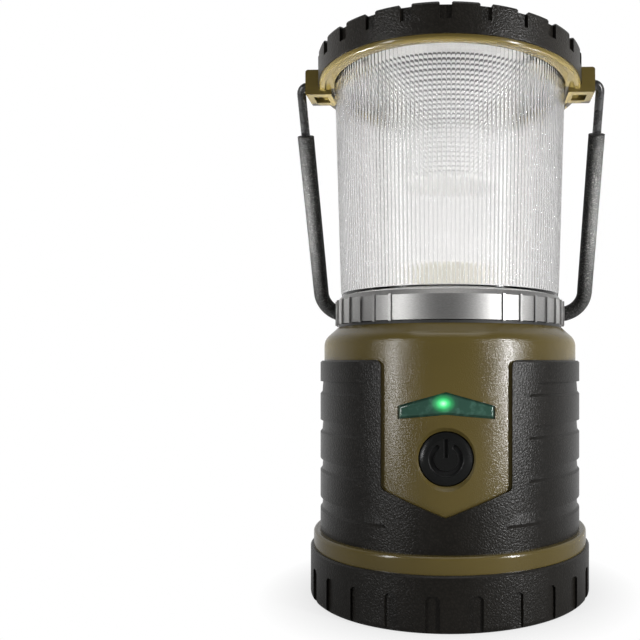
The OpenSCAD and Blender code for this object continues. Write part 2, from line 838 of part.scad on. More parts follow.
module lens() {
    foot_z = lens_foot_z + 0.8;
    flute_z = lens_z + 2;
    top = deck_z - 0.1;
    valley = lens_r - flute_deep;
    root_r = valley - 0.15;
    groove_turn = flute_groove_w / 2 / lens_r * 180 / PI;
    color([0.9, 0.93, 0.95, 0.4]) difference() {
        union() {
            rotate_extrude() polygon(concat(
                [[0, foot_z], [lens_foot_r, foot_z], [lens_foot_r, lens_z]],
                arc(root_r - 1.2, lens_z + 1.2, 1.2, -90, 0),
                [[root_r, flute_z + 0.2], [0, flute_z + 0.2]]));
            translate([0, 0, flute_z])
                linear_extrude(height = top - flute_z, scale = lens_top_r / lens_r)
                    polygon([for (i = [0 : flute_count - 1], k = [-1 : 1])
                        let (a = i * 360 / flute_count + k * groove_turn,
                             r = k == 0 ? valley : lens_r)
                        [r * cos(a), r * sin(a)]]);
        }
        translate([0, 0, foot_z - eps])
            cylinder(r = lens_foot_r - lens_wall, h = lens_z + 1 - foot_z + 2 * eps);
        translate([0, 0, lens_z + 1])
            cylinder(r1 = lens_r - lens_wall, r2 = lens_top_r - lens_wall, h = top - lens_z - 1 + eps);
    }
}

module upper_reflector() {
    top = mirror_top_z - mirror_t;
    low = top - mirror_cone_h;
    foot = low - mirror_foot_h;
    flange_r = lens_top_r - lens_wall - 0.9;
    cone_r = flange_r - 4.2;
    foot_step = mirror_foot_h / mirror_foot_rings;
    step_z = mirror_cone_h / mirror_rings;
    step_r = (cone_r - mirror_foot_r) / mirror_rings;
    inset = mirror_wall + mirror_lip;
    color([0.9, 0.9, 0.92]) difference() {
        rotate_extrude() polygon(concat(
            [[0, foot], [mirror_foot_r - 1, foot]],
            [for (i = [0 : mirror_foot_rings - 1], k = [0, 1])
                k == 0 ? [mirror_foot_r, foot + i * foot_step + (i == 0 ? 1 : 0)]
                       : [mirror_foot_r - mirror_foot_lip, foot + (i + 1) * foot_step]],
            [for (i = [0 : mirror_rings - 1], k = [0, 1])
                let (lip = i % 2 == 0 ? mirror_fine_lip : mirror_lip)
                k == 0 ? [mirror_foot_r + i * step_r, low + i * step_z]
                       : [mirror_foot_r + (i + 1) * step_r - lip, low + (i + 1) * step_z]],
            [[cone_r, top], [flange_r, top], [flange_r, mirror_top_z],
             [cone_r - inset, mirror_top_z], [mirror_foot_r - inset, low],
             [mirror_foot_r - inset, foot + mirror_wall], [0, foot + mirror_wall]]));
        at_reflector_screws() cylinder(r = 1.3, h = big * 2);
    }
}

module at_reflector_screws() {
    for (i = [0 : 3]) rotate([0, 0, 45 + 90 * i])
        translate([lens_top_r - lens_wall - 3.2, 0, 0]) children();
}

module reflector_screws() {
    color([0.6, 0.6, 0.62]) at_reflector_screws()
        translate([0, 0, mirror_top_z - mirror_t - 1.4]) screw(2, 1.4, 1.1, mirror_t + 3.5);
}

// ---- Collar, cap and bail ----

module lug(grow) {
    pocket_half = 3.6;
    difference() {
        translate([0, -lug_w / 2 - grow, lug_z])
            rotate([90, 0, 0]) mirror([0, 0, 1]) linear_extrude(lug_w + 2 * grow) polygon(concat(
                [[lens_top_r + 1, 0], [lug_x - 0.5, 0], [lug_x, 0.5]],
                arc(lug_x - lug_edge_r, lug_h - lug_edge_r + grow, lug_edge_r, 0, 90),
                [[lens_top_r + 1, lug_h + grow]]));
        if (grow == 0) {
            translate([lug_x - 9.4, -pocket_half, lug_z - eps]) cube([6.3, 2 * pocket_half, 3.4]);
            translate([lug_x - 7.2, 0, pivot_z]) rotate([0, 90, 0])
                cylinder(r = wire_r + pin_gap, h = big);
        }
    }
}

module handle_collar() {
    groove_in = lens_top_r - lens_wall - 0.7;
    groove_out = lens_top_r + 0.15;
    post_in = groove_in - 5.6;
    color([0.45, 0.40, 0.23]) difference() {
        union() {
            rotate_extrude() polygon(concat(
                [[groove_out, rim_z + 1.2], [rim_r - rim_bead_w - 0.4, rim_z + 0.6],
                 [rim_r - rim_bead_w, rim_z]],
                arc(rim_r - rim_edge_r, rim_z + rim_edge_r, rim_edge_r, -90, 0),
                [[rim_r, collar_z], [deck_r, collar_z], [deck_r, deck_top_z], [0, deck_top_z],
                 [0, deck_z], [post_in, deck_z], [post_in, mirror_top_z],
                 [groove_in, mirror_top_z], [groove_in, deck_z], [groove_out, deck_z]]));
            for (side = [0, 1]) mirror([side, 0, 0]) difference() {
                lug(0);
                cylinder(r = groove_out, h = big * 2);
            }
        }
        at_reflector_screws()
            translate([0, 0, mirror_top_z - eps]) cylinder(r = 1.1 + seat, h = 4);
    }
}

module top_cap() {
    rim_in = cap_r - cap_rim_w;
    middle_z = cap_top_z - cap_rim_up;
    color([0.13, 0.12, 0.12]) difference() {
        rotate_extrude() polygon([
            [deck_r + seat, collar_z + seat], [cap_r, collar_z + seat],
            [cap_r, cap_top_z - cap_bevel], [cap_r - cap_bevel / 4, cap_top_z - cap_bevel / 3],
            [cap_r - cap_bevel, cap_top_z], [rim_in, cap_top_z],
            [rim_in - cap_rim_up, middle_z], [0, middle_z], [0, deck_top_z],
            [deck_r + seat, deck_top_z]]);
        for (i = [0 : notch_count - 1]) rotate([0, 0, -90 + i * 360 / notch_count]) {
            slot(cap_r - notch_deep, notch_w, cap_top_z - notch_h, cap_top_z + eps, notch_splay);
            slot(rim_in - 2 * cap_rim_up, notch_w, middle_z + 0.1, cap_top_z + eps, notch_splay);
        }
        for (side = [0, 1]) mirror([side, 0, 0]) lug(2 * seat);
    }
}

// A tube of radius r along the bail's centre line, hanging from the origin, from a drop of start
// below it. The bends are a hair thinner and enter the straight and bowed lengths.
module bail_path(r, start) {
    step_in = 0.04;
    entry = 0.3;
    bend_entry = entry / bail_bend_r * 180 / PI;
    for (side = [0, 1]) mirror([side, 0, 0]) {
        translate([leg_x, 0, -bend_drop]) cylinder(r = r, h = bend_drop - start);
        translate([leg_in, 0, -bend_drop]) rotate([90, 0, 0])
            rotate([0, 0, -90 + bow_half - bend_entry])
                rotate_extrude(angle = 90 - bow_half + 2 * bend_entry)
                    translate([bail_bend_r, 0]) circle(r = r - step_in);
    }
    translate([0, 0, bow_r - bail_l]) rotate([90, 0, 0]) rotate([0, 0, -90 - bow_half])
        rotate_extrude(angle = 2 * bow_half) translate([bow_r, 0]) circle(r = r);
}

module hang() {
    translate([0, 0, pivot_z]) rotate([bail_lean, 0, 0]) children();
}

module bail_wire() {
    pin_in = lug_x - 6.8;
    bend_x = leg_x - pin_bend_r;
    color([0.2, 0.2, 0.2]) hang() {
        bail_path(wire_r, pin_bend_r);
        for (side = [0, 1]) mirror([side, 0, 0]) {
            translate([pin_in, 0, 0]) rotate([0, 90, 0]) cylinder(r = wire_r, h = bend_x - pin_in);
            translate([bend_x, 0, -pin_bend_r]) rotate([90, 0, 0])
                rotate_extrude(angle = 90) translate([pin_bend_r, 0]) circle(r = wire_r);
        }
    }
}

module bail_grip() {
    color([0.1, 0.1, 0.1]) hang() difference() {
        bail_path(grip_r, grip_start);
        bail_path(wire_r + seat, 0);
    }
}

// ---- Button and port cover ----

module power_button() {
    stem_r = 3;
    front = face_y + 0.9;
    flange_y = guide_y - move_gap;
    bevel = 1.9;
    color([0.12, 0.12, 0.13]) translate([0, 0, button_z]) rotate([90, 0, 0]) rotate_extrude()
        polygon([
            [0, plunger_tip_y], [stem_r, plunger_tip_y], [stem_r, flange_y - flange_t],
            [guide_r + 1.2, flange_y - flange_t], [guide_r + 1.2, flange_y], [button_r, flange_y],
            [button_r, front - bevel / 2], [button_r - 0.5, front - bevel / 4],
            [button_r - bevel, front], [button_r - bevel - 0.6, front], [0, front - 0.5]]);
}

module switch_plunger() {
    color([0.85, 0.85, 0.8]) translate([0, 0, button_z])
        along_y(plunger_r, board_y + button_travel + move_gap, plunger_tip_y);
}

module port_cover() {
    lip_wall = 1.6;
    lip_gap = 0.4;
    top_gap = 0.9;
    lip_y = port_mouth_y + 0.4;
    lip_low = port_low_z + lip_gap;
    lip_high = port_high_z - lip_gap - top_gap;
    bead_half = cover_half - 2.5;
    color([0.13, 0.12, 0.12]) {
        translate([-bead_half, sleeve_r + 0.1, cover_z]) rotate([0, 90, 0])
            cylinder(r = hinge_r, h = 2 * bead_half);
        intersection() {
            translate([-cover_half, face_y + 0.1, cover_z]) cube([2 * cover_half, big, cover_h]);
            cylinder(r = sleeve_r, h = big);
        }
        difference() {
            translate([lip_gap - port_half, lip_y, lip_low])
                cube([2 * (port_half - lip_gap), face_y + 0.2 - lip_y, lip_high - lip_low]);
            translate([lip_gap + lip_wall - port_half, lip_y - eps, lip_low + lip_wall])
                cube([2 * (port_half - lip_gap - lip_wall), face_y + 0.1 - lip_y,
                      lip_high - lip_low - 2 * lip_wall]);
        }
    }
}

base_boot();
base_cap();
base_screws();
base_seal();
housing_shell();
grip_sleeve();
neck_gasket();
cell(0);  // cell_1
cell(1);  // cell_2
cell(2);  // cell_3
cell(3);  // cell_4
cell_holder_lower();
cell_holder_upper();
cell_links_lower();
cell_links_upper();
main_board();
main_board_screws();
tact_switch();
indicator_leds();
indicator_window();
port_board();
port_board_screws();
power_outlet();
charge_inlet();
heat_sink();
heat_sink_screws();
led_board();
led_chips();
diffuser_dome();
lower_reflector();
cell_leads();
led_leads();
port_leads();
globe_ring();
lens_seal();
lens();
upper_reflector();
reflector_screws();
handle_collar();
top_cap();
bail_wire();
bail_grip();
power_button();
switch_plunger();
port_cover();
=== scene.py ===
# %% [markdown]
# # A rechargeable camping lantern, dressed in Blender
# The lantern arrives as a finished set of solid parts, each already in its place and at its real
# size. Blender's job is the looks: what each part is made of, the few small things that are too
# fine for the solid model, the light and the camera.

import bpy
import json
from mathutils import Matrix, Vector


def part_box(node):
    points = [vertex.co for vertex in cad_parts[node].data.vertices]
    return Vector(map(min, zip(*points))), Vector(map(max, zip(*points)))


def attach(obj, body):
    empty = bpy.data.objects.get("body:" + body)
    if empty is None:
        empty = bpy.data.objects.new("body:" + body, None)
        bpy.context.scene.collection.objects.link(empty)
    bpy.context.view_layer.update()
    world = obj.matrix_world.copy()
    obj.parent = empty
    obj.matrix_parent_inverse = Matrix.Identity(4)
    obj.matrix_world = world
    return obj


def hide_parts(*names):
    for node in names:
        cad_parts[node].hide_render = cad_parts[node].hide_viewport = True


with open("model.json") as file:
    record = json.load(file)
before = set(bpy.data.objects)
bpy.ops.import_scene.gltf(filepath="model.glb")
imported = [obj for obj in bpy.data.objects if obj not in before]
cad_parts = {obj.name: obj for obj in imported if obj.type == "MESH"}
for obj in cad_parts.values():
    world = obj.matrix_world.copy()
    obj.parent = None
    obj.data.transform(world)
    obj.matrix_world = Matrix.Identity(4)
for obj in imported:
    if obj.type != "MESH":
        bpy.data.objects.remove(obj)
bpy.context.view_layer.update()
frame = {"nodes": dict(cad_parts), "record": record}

# %% [markdown]
# ## Libraries and units
# Blender works in metres, and a lantern is easier to think about in millimetres, so every size
# below is written in millimetres and multiplied once. The record that comes with the parts says
# which finish each part is meant to have, and that list is kept for the dressing later on.

# %% Libraries and units
import json
import math

import bmesh
import bpy
import numpy as np
from mathutils import Vector

MM = 0.001
slot_of = {part["node"]: part["material_slot"] for part in frame["record"]["subparts"]}

# %% [markdown]
# ## A workbench for finishes
# In Blender a finish is a small graph of nodes that ends in the Principled shader. Writing the
# graph out by hand is long, so this bench adds one node with its settings, wires it, and gives the
# few mixtures that nearly every finish here needs: a grain, two tones of a colour, and a bump.
# Every grain is read in object coordinates. Those are in metres on every part, so a scale of 1000
# gives a grain of one millimetre wherever it lies. Nearly all of a noise lies between 0.3 and 0.7,
# so the bench has names for those two values and stretches them to the range that is wanted.

# %% The bench
QUIET, LOUD = 0.3, 0.7


class Bench:
    def __init__(self, name):
        self.material = bpy.data.materials.new(name)
        self.material.use_nodes = True
        self.nodes = self.material.node_tree.nodes
        self.links = self.material.node_tree.links
        self.shader = self.nodes["Principled BSDF"]
        self.place = self.add("TexCoord").outputs["Object"]

    def feed(self, socket, value):
        if isinstance(value, bpy.types.NodeSocket):
            self.links.new(value, socket)
        else:
            socket.default_value = value

    def add(self, kind, settings=None, **sockets):
        node = self.nodes.new("ShaderNode" + kind)
        for key, value in (settings or {}).items():
            setattr(node, key, value)
        for key, value in sockets.items():
            self.feed(node.inputs[key.replace("_", " ")], value)
        return node

    def set(self, **sockets):
        for key, value in sockets.items():
            self.feed(self.shader.inputs[key.replace("_", " ")], value)

    def combine(self, first, second, how="ADD"):
        node = self.add("Math", {"operation": how})
        self.feed(node.inputs[0], first)
        self.feed(node.inputs[1], second)
        return node.outputs["Value"]

    def alone(self, value, how):
        node = self.add("Math", {"operation": how})
        self.feed(node.inputs[0], value)
        return node.outputs["Value"]

    def vector(self, how, *parts):
        node = self.add("VectorMath", {"operation": how})
        for socket, part in zip(node.inputs, parts):
            self.feed(socket, part)
        return node.outputs["Value" if how == "LENGTH" else "Vector"]

    def axis(self, letter):
        return self.add("SeparateXYZ", Vector=self.place).outputs[letter]


print("bench ready")

# %% [markdown]
# ## Mixtures for the bench
# A noise or a cell pattern is only a number from 0 to 1 at each point of the surface. These
# helpers turn it into something a shader can use: a range of roughness, a run of colours, or a
# height for the bump. They are added to the bench as methods, so that a finish reads as a recipe.

# %% Grain, ranges, tones and bump
class FinishBench(Bench):
    def grain(self, scale, detail=3.0, rough=0.55, where=None):
        return self.add("TexNoise", Vector=where or self.place, Scale=scale, Detail=detail,
                        Roughness=rough).outputs["Fac"]

    def cells(self, scale, feature="F1", where=None):
        return self.add("TexVoronoi", {"feature": feature}, Vector=where or self.place,
                        Scale=scale).outputs["Distance"]

    def span(self, value, low, high, to_low=0.0, to_high=1.0, ease="LINEAR"):
        node = self.add("MapRange", {"interpolation_type": ease}, Value=value)
        for socket, number in zip(list(node.inputs)[1:], (low, high, to_low, to_high)):
            self.feed(socket, number)
        return node.outputs["Result"]

    def stretch(self, noise, to_low, to_high):
        return self.span(noise, QUIET, LOUD, to_low, to_high)

    def tones(self, value, *stops):
        ramp = self.add("ValToRGB", Fac=value)
        band = ramp.color_ramp.elements
        while len(band) < len(stops):
            band.new(0.5)
        for element, (at, colour) in zip(band, stops):
            element.position = at
            element.color = (*colour, 1.0)
        return ramp.outputs["Color"]

    def two_tones(self, noise, dark, light):
        return self.tones(noise, (QUIET, dark), (LOUD, light))

    def bump(self, height, deep, strength=1.0):
        return self.add("Bump", Height=height, Distance=deep, Strength=strength).outputs["Normal"]


def shade(colour, times):
    return tuple(min(1.0, part * times) for part in colour)


finishes = {}
print("mixtures ready")

# %% [markdown]
# ## Moulded olive plastic
# The base cap, the housing and the handle collar are moulded in one olive plastic. The mould of the
# housing's side was etched, so its skin is covered in shallow pebbles a little under half a
# millimetre across, which break a highlight into bright specks. The shoulder, the band and the
# collar come from smoother steel and keep long clean highlights. A flat colour with a low roughness
# would give a wet stripe everywhere, so the pebbles are two sizes of noise, and they fade out above
# and below the housing's side by height.

# %% Olive plastic
OLIVE = (0.079, 0.059, 0.0166)
ETCHED_FROM, ETCHED_TO = 28.5 * MM, 109.5 * MM
SMOOTH_SHARE = 0.12
PEBBLE_DEEP = 0.021 * MM


def olive_plastic():
    b = FinishBench("moulded_olive_plastic")
    drift = b.grain(18, 2.0)
    pebble = b.span(b.grain(2300, 1.0, 0.5), 0.42, 0.6)
    fine = b.grain(4600, 2.0, 0.5)
    height = b.axis("Z")
    above_band = b.span(height, ETCHED_FROM - 0.3 * MM, ETCHED_FROM, SMOOTH_SHARE, 1.0)
    below_shoulder = b.span(height, ETCHED_TO, ETCHED_TO + 1.5 * MM, 1.0, SMOOTH_SHARE)
    etched = b.combine(above_band, below_shoulder, "MINIMUM")
    relief = b.combine(b.combine(pebble, b.stretch(fine, 0.0, 0.3)), etched, "MULTIPLY")
    b.set(Base_Color=b.tones(drift, (0.35, shade(OLIVE, 0.92)), (0.65, shade(OLIVE, 1.1))),
          Roughness=b.span(pebble, 0.0, 1.0, 0.16, 0.22),
          Specular_IOR_Level=0.5,
          Normal=b.bump(relief, PEBBLE_DEEP))
    return b.material


finishes["olive_plastic"] = olive_plastic()
print("olive plastic, pebbles", round(PEBBLE_DEEP / MM, 3), "mm deep")

# %% [markdown]
# ## Black rubber
# The boot, the sleeve, the top cap and the port cover are one warm black rubber with a leather
# grain. Leather grain is a net of fine creases round small pads, which is what the edges of a
# Voronoi pattern look like when noise pushes them about. The creases are painted a touch darker
# than the pads, as painted shade.

# %% Black rubber
RUBBER = (0.0084, 0.0073, 0.0058)
PUSH = 1.1 * MM
CREASE_DEEP = 0.05 * MM


def black_rubber():
    b = FinishBench("black_leather_grain_rubber")
    wander = b.add("TexNoise", Vector=b.place, Scale=420, Detail=2.0).outputs["Color"]
    pushed = b.vector("MULTIPLY_ADD", wander, (PUSH, PUSH, PUSH), b.place)
    crease = b.span(b.cells(820, "DISTANCE_TO_EDGE", pushed), 0.0, 0.28)
    fine = b.grain(3200, 2.0)
    dust = b.grain(26, 3.0)
    # painted shade: the colour is darker in the creases of the grain
    b.set(Base_Color=b.tones(b.combine(crease, b.stretch(dust, -0.3, 0.3)),
                             (0.0, shade(RUBBER, 0.72)), (0.9, shade(RUBBER, 1.25))),
          Roughness=b.stretch(fine, 0.3, 0.4),
          Specular_IOR_Level=0.27,
          Normal=b.bump(b.combine(crease, b.stretch(fine, 0.0, 0.25)), CREASE_DEEP))
    return b.material


finishes["black_rubber"] = black_rubber()
print("black rubber, creases", round(CREASE_DEEP / MM, 3), "mm deep")

# %% [markdown]
# ## Button rubber
# The button is a harder, satin rubber, and its face shines like a fingertip. The groove of the
# sign is painted nearly black, as painted shade in the groove, and made quite matt. The groove
# could be marked by hand on the mesh. Here the finish finds it by itself: it is where a point lies
# behind the face of the button and inside the round of the sign.

# %% Button rubber
BUTTON_Z, BUTTON_FACE = 64.2 * MM, 55.1 * MM
SIGN_REACH = 7.8 * MM
ALONG_FACE = (1.0, 0.0, 1.0)


def button_rubber():
    b = FinishBench("satin_button_rubber")
    fine = b.grain(2600, 2.0)
    from_middle = b.vector("MULTIPLY_ADD", b.place, ALONG_FACE, (0.0, 0.0, -BUTTON_Z))
    inside = b.span(b.vector("LENGTH", from_middle), SIGN_REACH, SIGN_REACH + 0.2 * MM, 1.0, 0.0)
    depth = b.combine(b.axis("Y"), BUTTON_FACE)
    groove = b.combine(b.span(depth, 0.1 * MM, 0.55 * MM), inside, "MULTIPLY")
    matt = b.combine(groove, b.stretch(fine, 0.0, 0.08))
    # painted shade: the groove of the sign is coloured nearly black
    b.set(Base_Color=b.tones(groove, (0.0, (0.0075, 0.0077, 0.0075)),
                             (1.0, (0.001, 0.001, 0.001))),
          Specular_IOR_Level=0.32,
          Roughness=b.span(matt, 0.0, 1.0, 0.15, 0.9),
          Normal=b.bump(fine, 0.03 * MM, 0.5))
    return b.material


finishes["button_rubber"] = button_rubber()
print("button rubber made")

# %% [markdown]
# ## Foam of the grip
# The grip is a tube of closed-cell foam that is pushed over the wire. Its skin is open here and
# there, so it is nearly black with fine grey specks and small pits. The specks are the peaks of a
# noise, and the pits come from the middles of Voronoi cells.

# %% Grip foam
FOAM_TONES = ((0.44, (0.0026, 0.0026, 0.0024)), (0.55, (0.007, 0.007, 0.0066)),
              (0.66, (0.12, 0.12, 0.113)))


def grip_foam():
    b = FinishBench("speckled_grip_foam")
    pits = b.span(b.cells(1250), 0.0, 0.6)
    specks = b.grain(2100, 3.0, 0.7)
    b.set(Base_Color=b.tones(specks, *FOAM_TONES),
          Specular_IOR_Level=0.2,
          Roughness=b.stretch(specks, 0.55, 0.75),
          Normal=b.bump(b.combine(pits, specks), 0.22 * MM, 0.8))
    return b.material


finishes["grip_foam"] = grip_foam()
print("grip foam in", len(FOAM_TONES), "tones")

# %% [markdown]
# ## Seals, inner mouldings, cells and leads
# These share one plain recipe: two close tones, a roughness with a little life in it and a faint
# bump. Seals are smooth and matt, the inner black mouldings are a bit shinier, the cells wear a
# glossy blue shrink wrap and the leads a soft red jacket. One function takes what differs.

# %% Plain mouldings and jackets
def plain_moulding(name, scale, detail, dark, light, rough, texture, deep, strength=0.4):
    b = FinishBench(name)
    slow = b.grain(scale, detail)
    b.set(Base_Color=b.two_tones(slow, dark, light),
          Roughness=b.stretch(slow, *rough),
          Normal=b.bump(b.grain(texture, detail if texture == scale else 2.0), deep, strength))
    return b.material


def grey(level):
    return (level, level, level)


finishes["seal_rubber"] = plain_moulding(
    "smooth_seal_rubber", 900, 3.0, grey(0.009), grey(0.016), (0.5, 0.68), 900, 0.03 * MM)
finishes["black_plastic"] = plain_moulding(
    "inner_black_plastic", 1800, 2.0, grey(0.012), grey(0.02), (0.42, 0.55), 1800, 0.04 * MM, 0.5)
finishes["cell_wrap"] = plain_moulding(
    "cell_shrink_wrap", 400, 3.0, (0.02, 0.12, 0.4), (0.03, 0.17, 0.5), (0.22, 0.34), 1500,
    0.03 * MM)
finishes["lead_jacket"] = plain_moulding(
    "lead_jacket", 400, 3.0, (0.42, 0.03, 0.02), (0.55, 0.05, 0.03), (0.4, 0.52), 1500, 0.03 * MM)
finishes["bail_steel"] = plain_moulding(
    "dark_coated_wire", 300, 3.0, grey(0.013), grey(0.021), (0.22, 0.34), 1800, 0.02 * MM, 0.5)
print("five plain finishes, the coated wire of the bail among them")

# %% [markdown]
# ## Ring metal
# The globe ring is turned and brushed round its axis: the scratches are long round the ring and
# very short upwards, so the noise is squeezed in height. A second, very fine noise gives the
# sparkle of the brushed crests.

# %% Ring metal
SQUEEZE_UPWARDS = (1.0, 1.0, 5.0)


def ring_metal():
    b = FinishBench("brushed_ring_metal")
    squeezed = b.add("Mapping", Vector=b.place, Scale=SQUEEZE_UPWARDS).outputs["Vector"]
    lines = b.grain(900, 3.0, 0.6, squeezed)
    sparkle = b.grain(3200, 2.0, 0.6)
    b.set(Base_Color=b.two_tones(lines, (0.28, 0.277, 0.272), (0.35, 0.346, 0.34)),
          Metallic=1.0,
          Roughness=b.span(sparkle, 0.35, 0.65, 0.4, 0.52),
          Normal=b.bump(b.combine(lines, sparkle), 0.025 * MM, 0.6))
    return b.material


finishes["ring_metal"] = ring_metal()
print("ring metal made")

# %% [markdown]
# ## Plated and cast metals
# Screws, sockets and contact strips are plated, and the heat sink is cast and blasted with beads.
# A metal in Blender is its colour with Metallic at 1, and what tells one from another is the tint
# and how blurred its reflections are, so one recipe takes both.

# %% Plated and cast metals
PLATINGS = {
    "screw_steel": ("zinc_plated_screw", (0.72, 0.73, 0.74), (0.84, 0.84, 0.85), 0.34),
    "socket_steel": ("stamped_socket_steel", grey(0.5), grey(0.62), 0.3),
    "nickel_strip": ("nickel_strip", (0.5, 0.47, 0.41), (0.6, 0.57, 0.5), 0.25),
    "heat_sink_aluminium": ("cast_heat_sink", (0.6, 0.61, 0.62), (0.74, 0.75, 0.76), 0.42),
}


def plated(name, dark, light, rough):
    b = FinishBench(name)
    slow = b.grain(500, 3.0)
    b.set(Base_Color=b.two_tones(slow, dark, light),
          Metallic=1.0,
          Roughness=b.stretch(slow, rough, rough + 0.12),
          Normal=b.bump(b.grain(2500, 2.0), 0.01 * MM, 0.4))
    return b.material


for slot, recipe in PLATINGS.items():
    finishes[slot] = plated(*recipe)
print(len(PLATINGS), "plated and cast metals made")

# %% [markdown]
# ## Upper reflector
# The reflector in the globe is a bright metallised moulding of stepped rings, a straight foot below
# a wide cone, and it throws the light of the LEDs sideways. Each ring ends in a crease that holds
# a fine line of shadow. The rings are in the solid, but their creases are far narrower than a
# pixel, so the finish paints that line of shadow itself: it counts rings by height and colours the
# last bit of each one dark, as painted shadow.

# %% Upper reflector
FOOT_Z, CONE_Z, CONE_TOP_Z = 180.6 * MM, 201.0 * MM, 224.5 * MM
FOOT_RING, CONE_RING = 2.04 * MM, 1.46875 * MM
FOOT_REACH, CONE_REACH = 0.1, 0.16
FOOT_SHARE = 0.65


def ring_crease_shadow(b, height, start, pitch, reach):
    rings = b.combine(b.combine(height, start, "SUBTRACT"), pitch, "DIVIDE")
    within = b.alone(b.combine(rings, 0.5), "FRACT")
    from_crease = b.alone(b.combine(within, 0.5, "SUBTRACT"), "ABSOLUTE")
    return b.span(from_crease, 0.6 * reach, reach, 1.0, 0.0)


def reflector_silver():
    b = FinishBench("metallised_reflector")
    haze = b.grain(220, 3.0)
    height = b.axis("Z")
    on_foot = b.span(height, CONE_Z - 0.1 * MM, CONE_Z, 1.0, 0.0)
    on_cone = b.span(height, CONE_Z - 0.1 * MM, CONE_Z, 0.0, 1.0)
    below_top = b.span(height, CONE_TOP_Z - 0.5 * MM, CONE_TOP_Z - 0.2 * MM, 1.0, 0.0)
    above_end = b.span(height, FOOT_Z + 0.3 * MM, FOOT_Z + 0.6 * MM, 0.0, FOOT_SHARE)
    foot = ring_crease_shadow(b, height, FOOT_Z, FOOT_RING, FOOT_REACH)
    cone = ring_crease_shadow(b, height, CONE_Z, CONE_RING, CONE_REACH)
    for share in (on_foot, above_end):
        foot = b.combine(foot, share, "MULTIPLY")
    for share in (on_cone, below_top):
        cone = b.combine(cone, share, "MULTIPLY")
    crease = b.combine(b.combine(foot, cone, "MAXIMUM"), b.stretch(haze, -0.04, 0.04))
    # painted shadow: the last bit of each ring is coloured nearly black
    b.set(Base_Color=b.tones(crease, (0.0, (0.98, 0.98, 0.975)), (0.4, (0.5, 0.5, 0.51)),
                             (1.0, (0.07, 0.07, 0.075))),
          Metallic=0.1,
          Roughness=b.stretch(haze, 0.34, 0.44))
    return b.material


finishes["reflector_silver"] = reflector_silver()
print("reflector with", round((CONE_Z - FOOT_Z) / FOOT_RING), "rings on its foot and",
      round((CONE_TOP_Z - CONE_Z) / CONE_RING), "on its cone")

# %% [markdown]
# ## Light engine
# Round the LEDs lies a bowl of bright white plastic, and over them stands a frosted cup that
# spreads their light. Frosted plastic lets part of the light through and scatters the rest, so it
# is part white, part blurred glass. It also has a very faint painted warm glow, which stands in for
# the light of the LEDs; they give off none here. The LEDs are yellow because of the phosphor on the
# chips.

# %% White bowl, diffuser and LEDs
def reflector_white():
    b = FinishBench("bright_white_reflector")
    haze = b.grain(160, 3.0)
    b.set(Base_Color=b.two_tones(haze, (0.8, 0.8, 0.79), (0.86, 0.86, 0.85)),
          Roughness=b.stretch(haze, 0.15, 0.28))
    return b.material


def frosted_diffuser():
    b = FinishBench("frosted_diffuser")
    frost = b.grain(1500, 3.0)
    b.set(Base_Color=b.two_tones(frost, (0.7, 0.69, 0.63), (0.78, 0.77, 0.71)),
          Roughness=b.stretch(frost, 0.35, 0.5),
          Transmission_Weight=0.35,
          IOR=1.45,
          # painted glow standing in for the light of the LEDs under the cup
          Emission_Color=(1.0, 0.96, 0.86, 1.0),
          Emission_Strength=0.12)
    return b.material


def led_phosphor():
    b = FinishBench("led_phosphor")
    fine = b.grain(2500, 2.0)
    b.set(Base_Color=b.two_tones(fine, (0.85, 0.66, 0.12), (0.95, 0.78, 0.2)),
          Roughness=b.stretch(fine, 0.2, 0.3))
    return b.material


finishes["reflector_white"] = reflector_white()
finishes["frosted_diffuser"] = frosted_diffuser()
finishes["led_phosphor"] = led_phosphor()
print("white bowl, diffuser and LEDs made")

# %% [markdown]
# ## Clear lens
# The globe is clear polycarbonate with its flutes in the mesh itself, so the light bends in the
# real shape. All the finish adds is a slight haze from the mould. The reflections on its outside
# are held back a little, because 180 small flutes each catch every lamp.

# %% Clear lens
def clear_lens():
    b = FinishBench("clear_fluted_lens")
    haze = b.grain(90, 2.0)
    b.set(Base_Color=b.two_tones(haze, (0.955, 0.95, 0.945), (0.975, 0.97, 0.965)),
          Roughness=b.stretch(haze, 0.1, 0.14),
          Transmission_Weight=1.0,
          Specular_Tint=(0.4, 0.4, 0.4, 1.0),
          IOR=1.49)
    return b.material


finishes["clear_lens"] = clear_lens()
print("lens finish made")

# %% [markdown]
# ## Indicator window and its lamps
# The chevron window is dark green and glossy. Behind it one lamp is lit, and its light spreads in
# the plastic: white-hot over the lamp, then green, fading to nothing on the way to the ends. A lamp
# behind a real tinted pane would need many light paths for one small spot. So the finish works out
# the spread from the distance to the lamp, in the lantern's own coordinates, and gives off that
# light itself as a painted glow. The two ends of the pane are painted paler, as painted light where
# its cut edge gathers light.

# %% Indicator window and lamps
LAMP_AT = (-1.0 * MM, -50.0 * MM, 85.3 * MM)
GLOW_REACH, SPOT_REACH = (6.2 * MM, 50 * MM, 4.8 * MM), (3 * MM, 50 * MM, 50 * MM)
PANE_TINT_AND_EDGE_LIGHT = ((0.0, (0.024, 0.06, 0.044)), (0.2, (0.05, 0.115, 0.087)), (0.8, (0.3, 0.36, 0.3)))
GLOW_TONES = ((0.0, grey(0.0)), (0.25, (0.001, 0.03, 0.009)), (0.5, (0.01, 0.26, 0.06)),
              (0.72, (0.06, 0.85, 0.22)), (0.84, (0.35, 1.0, 0.55)), (0.93, (0.95, 1.0, 0.96)))


def nearness_to_lamp(b, reach):
    shifted = b.add("Mapping", {"vector_type": "TEXTURE"}, Vector=b.place, Location=LAMP_AT,
                    Scale=reach).outputs["Vector"]
    return b.span(b.vector("LENGTH", shifted), 0.0, 1.0, 1.0, 0.0)


